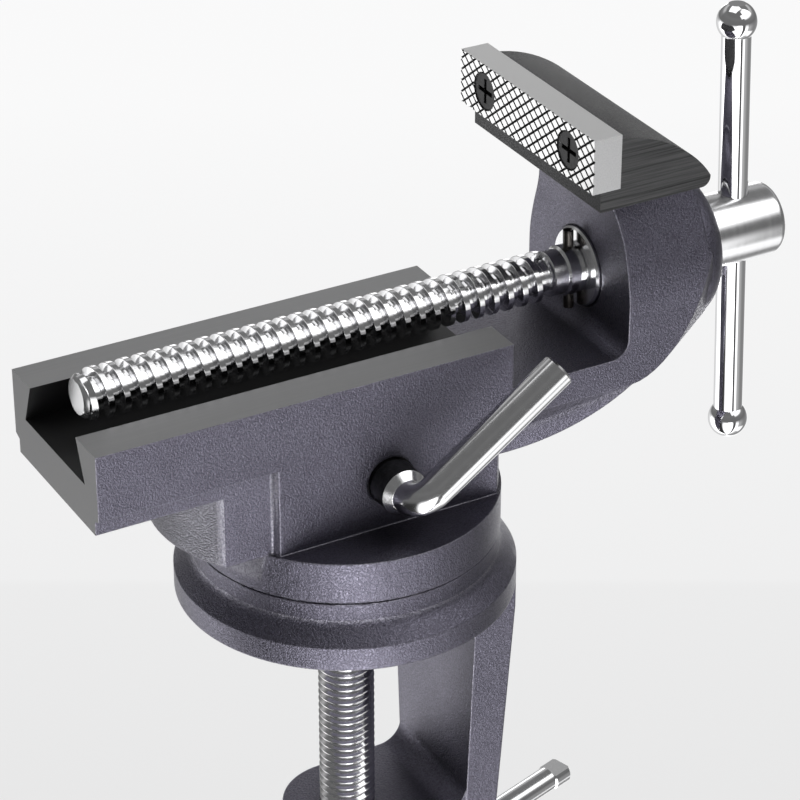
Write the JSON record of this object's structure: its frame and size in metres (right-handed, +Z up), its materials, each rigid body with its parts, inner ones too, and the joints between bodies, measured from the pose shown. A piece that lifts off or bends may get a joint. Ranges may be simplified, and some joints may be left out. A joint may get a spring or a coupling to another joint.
{
  "type": "mini bench vise",
  "caption": "Small clamp-on bench vise without its sliding jaw: a swivelling cast body with a knurled jaw, lead screw, T-handle and cam lock on a C-frame with a clamp screw.",
  "frame": {"origin": "where the swivel axis meets the bench top, in the middle of the base's underside", "axes": "+X along the bed from its open end towards the fixed jaw and the T-handle, +Y away from the lock lever, +Z up along the swivel axis"},
  "size_m": [0.1936, 0.0832, 0.2382],
  "materials": {
    "cast_paint": "dark grey hammered paint on a casting",
    "ground_steel": "ground",
    "bright_steel": "bright plated",
    "dark_steel": "black oxide"
  },
  "bodies": {
    "base": {"clamp_frame": "cast_paint", "swivel_washer": "ground_steel"},
    "vise": {"vise_body": "cast_paint", "jaw_plate": "ground_steel", "jaw_screws": "dark_steel", "screw_bush": "bright_steel", "thrust_washer": "bright_steel", "lock_bushes": "dark_steel"},
    "draw": {"draw_bolt": "ground_steel", "draw_washer": "ground_steel", "draw_nut": "ground_steel"},
    "lock": {"lock_shaft": "dark_steel", "lock_lever": "bright_steel", "lock_clip": "dark_steel"},
    "screw": {"lead_screw": "bright_steel", "stop_collar": "bright_steel", "retaining_pin": "dark_steel"},
    "handle": {"handle_bar": "bright_steel", "handle_ball_top": "bright_steel", "handle_ball_bottom": "bright_steel"},
    "pad": {"clamp_pad": "ground_steel", "pad_clip": "dark_steel"},
    "clamp_spindle": {"clamp_screw": "bright_steel"},
    "lower_bar": {"clamp_bar": "bright_steel"}
  },
  "joints": [
    {"name": "swivel", "type": "hinge", "parent": "base", "child": "vise", "pos_m": [0, 0, 0.01555], "axis": [0, 0, 1], "continuous": true},
    {"name": "lock_lever_turn", "type": "hinge", "parent": "vise", "child": "lock", "pos_m": [0, 0, 0.0388], "axis": [0, -1, 0], "range_deg": [0, 70]},
    {"name": "draw_bolt_lift", "type": "slide", "parent": "vise", "child": "draw", "axis": [0, 0, 1], "range_m": [-0.0006, 0]},
    {"name": "lead_screw_turn", "type": "hinge", "parent": "vise", "child": "screw", "pos_m": [0, 0, 0.0682], "axis": [1, 0, 0], "continuous": true},
    {"name": "handle_slide", "type": "slide", "parent": "screw", "child": "handle", "axis": [0, 0.0523, 0.9986], "range_m": [-0.0405, 0.0405]},
    {"name": "clamp_travel", "type": "slide", "parent": "base", "child": "pad", "axis": [0, 0, 1], "range_m": [-0.054, 0.0035]},
    {"name": "clamp_screw_turn", "type": "hinge", "parent": "pad", "child": "clamp_spindle", "pos_m": [0, 0, -0.013], "axis": [0, 0, 1], "range_deg": [-9700, 620]},
    {"name": "clamp_bar_slide", "type": "slide", "parent": "clamp_spindle", "child": "lower_bar", "axis": [0.9542, 0.299, 0], "range_m": [-0.069, 0.0205]}
  ],
  "couplings": [
    {"joint": "draw_bolt_lift", "follows": "lock_lever_turn", "m_per_rad": -0.0004695},
    {"joint": "clamp_travel", "follows": "clamp_screw_turn", "m_per_rad": 0.00031831}
  ]
}
